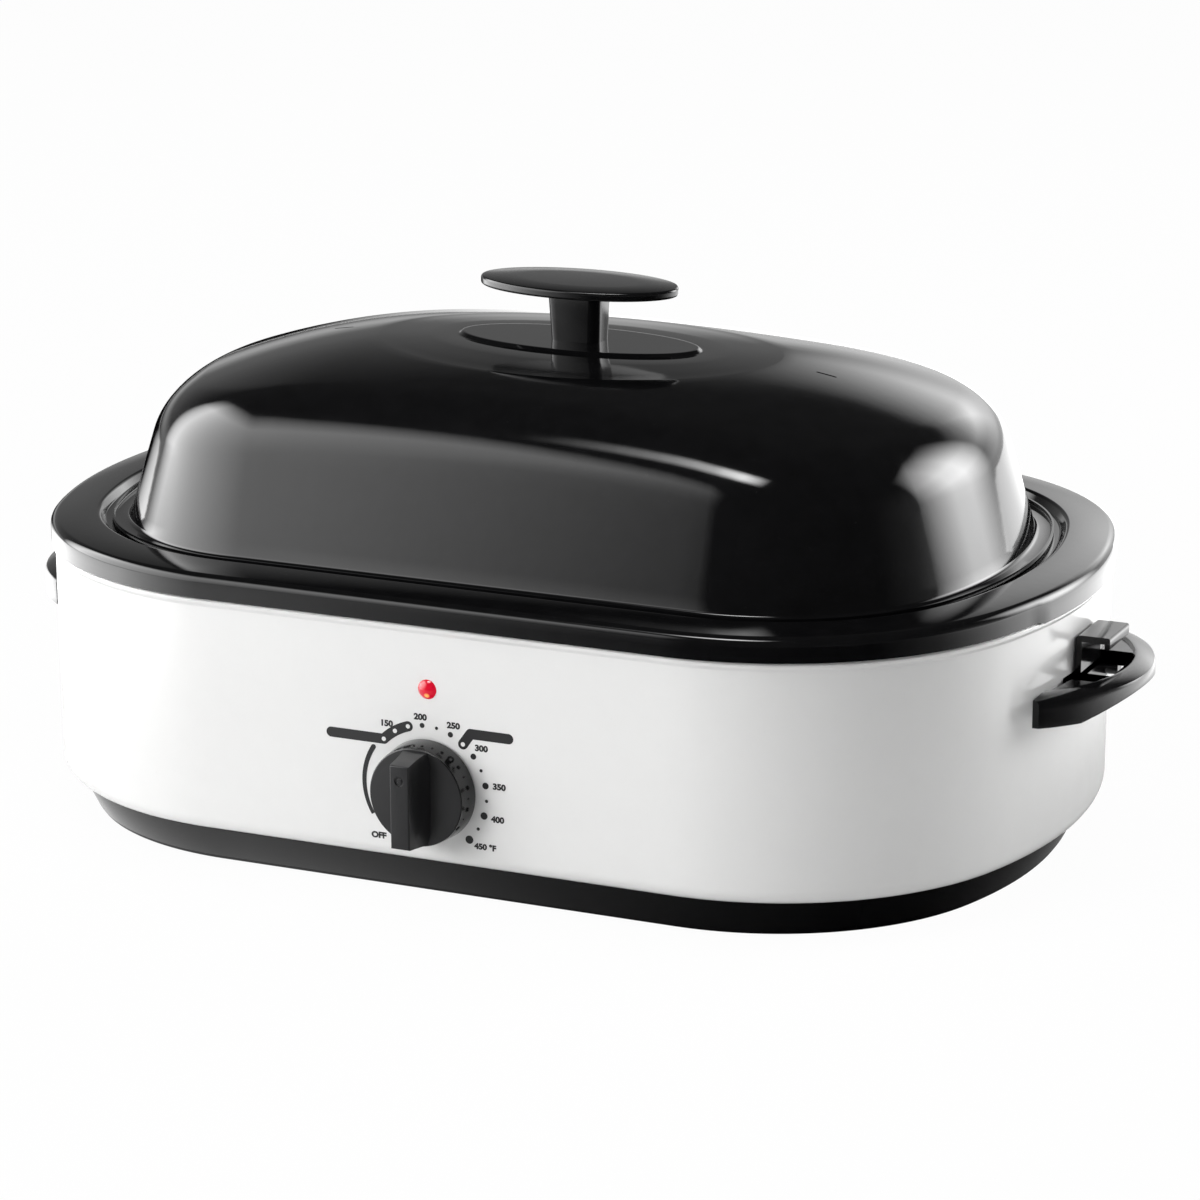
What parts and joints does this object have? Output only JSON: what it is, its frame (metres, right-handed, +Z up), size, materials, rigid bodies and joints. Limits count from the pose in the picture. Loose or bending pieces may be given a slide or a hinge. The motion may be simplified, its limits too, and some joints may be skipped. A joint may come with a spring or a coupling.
{
  "type": "electric roaster oven",
  "caption": "Oval countertop roaster oven: white body on a black base, lift-out pan and rack, domed lift-off lid with an oval grip, two side handles and a front control knob.",
  "frame": {"origin": "on the plane under the rubber feet, at the middle of the whole footprint from handle to handle and from the knob's face to the rear gland", "axes": "+X to the right along the length, +Y to the back, +Z up; the knob faces -Y"},
  "size_m": [0.6136, 0.3996, 0.2801],
  "materials": {
    "white_enamel": "gloss white baked enamel",
    "black_enamel": "gloss black vitreous enamel",
    "black_moulding": "gloss black heat-resistant moulding",
    "satin_moulding": "satin dark grey moulding",
    "bright_steel": "aluminised sheet steel",
    "heater_strip": "aluminium-clad heating strip",
    "glass_fibre": "glass-fibre blanket",
    "zinc_steel": "zinc-plated steel",
    "chromed_wire": "bright chromium plate",
    "foot_rubber": "matt black rubber",
    "red_lens": "clear red lens",
    "lamp_glass": "clear glass",
    "ceramic": "glazed steatite",
    "switch_moulding": "brown phenolic"
  },
  "bodies": {
    "roaster_body": {"outer_shell": "white_enamel", "rear_panel": "white_enamel", "heat_well": "bright_steel", "heating_band": "heater_strip", "band_bolts": "zinc_steel", "insulation": "glass_fibre", "heat_shield": "bright_steel", "base_pan": "black_moulding", "feet": "foot_rubber", "base_screws": "zinc_steel", "base_nuts": "zinc_steel", "handle_right": "black_moulding", "handle_left": "black_moulding", "handle_screws": "zinc_steel", "thermostat": "switch_moulding", "dial_screws": "zinc_steel", "lamp_lens": "red_lens", "neon_lamp": "lamp_glass", "lamp_retainer": "zinc_steel", "cord_gland": "foot_rubber", "terminal_block": "ceramic"},
    "pan": {"roasting_pan": "black_enamel"},
    "rack": {"roasting_rack": "chromed_wire"},
    "lid": {"lid_shell": "black_enamel", "lid_handle": "black_moulding", "lid_handle_washer": "zinc_steel", "lid_handle_screw": "zinc_steel"},
    "knob": {"control_knob": "satin_moulding", "thermostat_shaft": "zinc_steel"}
  },
  "joints": [
    {"name": "pan_lift", "type": "slide", "parent": "roaster_body", "child": "pan", "axis": [0, 0, 1], "range_m": [0, 0.13]},
    {"name": "rack_lift", "type": "slide", "parent": "pan", "child": "rack", "axis": [0, 0, 1], "range_m": [0, 0.13]},
    {"name": "lid_lift", "type": "slide", "parent": "rack", "child": "lid", "axis": [0, 0, 1], "range_m": [0, 0.16]},
    {"name": "knob_turn", "type": "hinge", "parent": "roaster_body", "child": "knob", "pos_m": [0, -0.1678, 0.0615], "axis": [0, -1, 0], "range_deg": [-134, 136]}
  ]
}
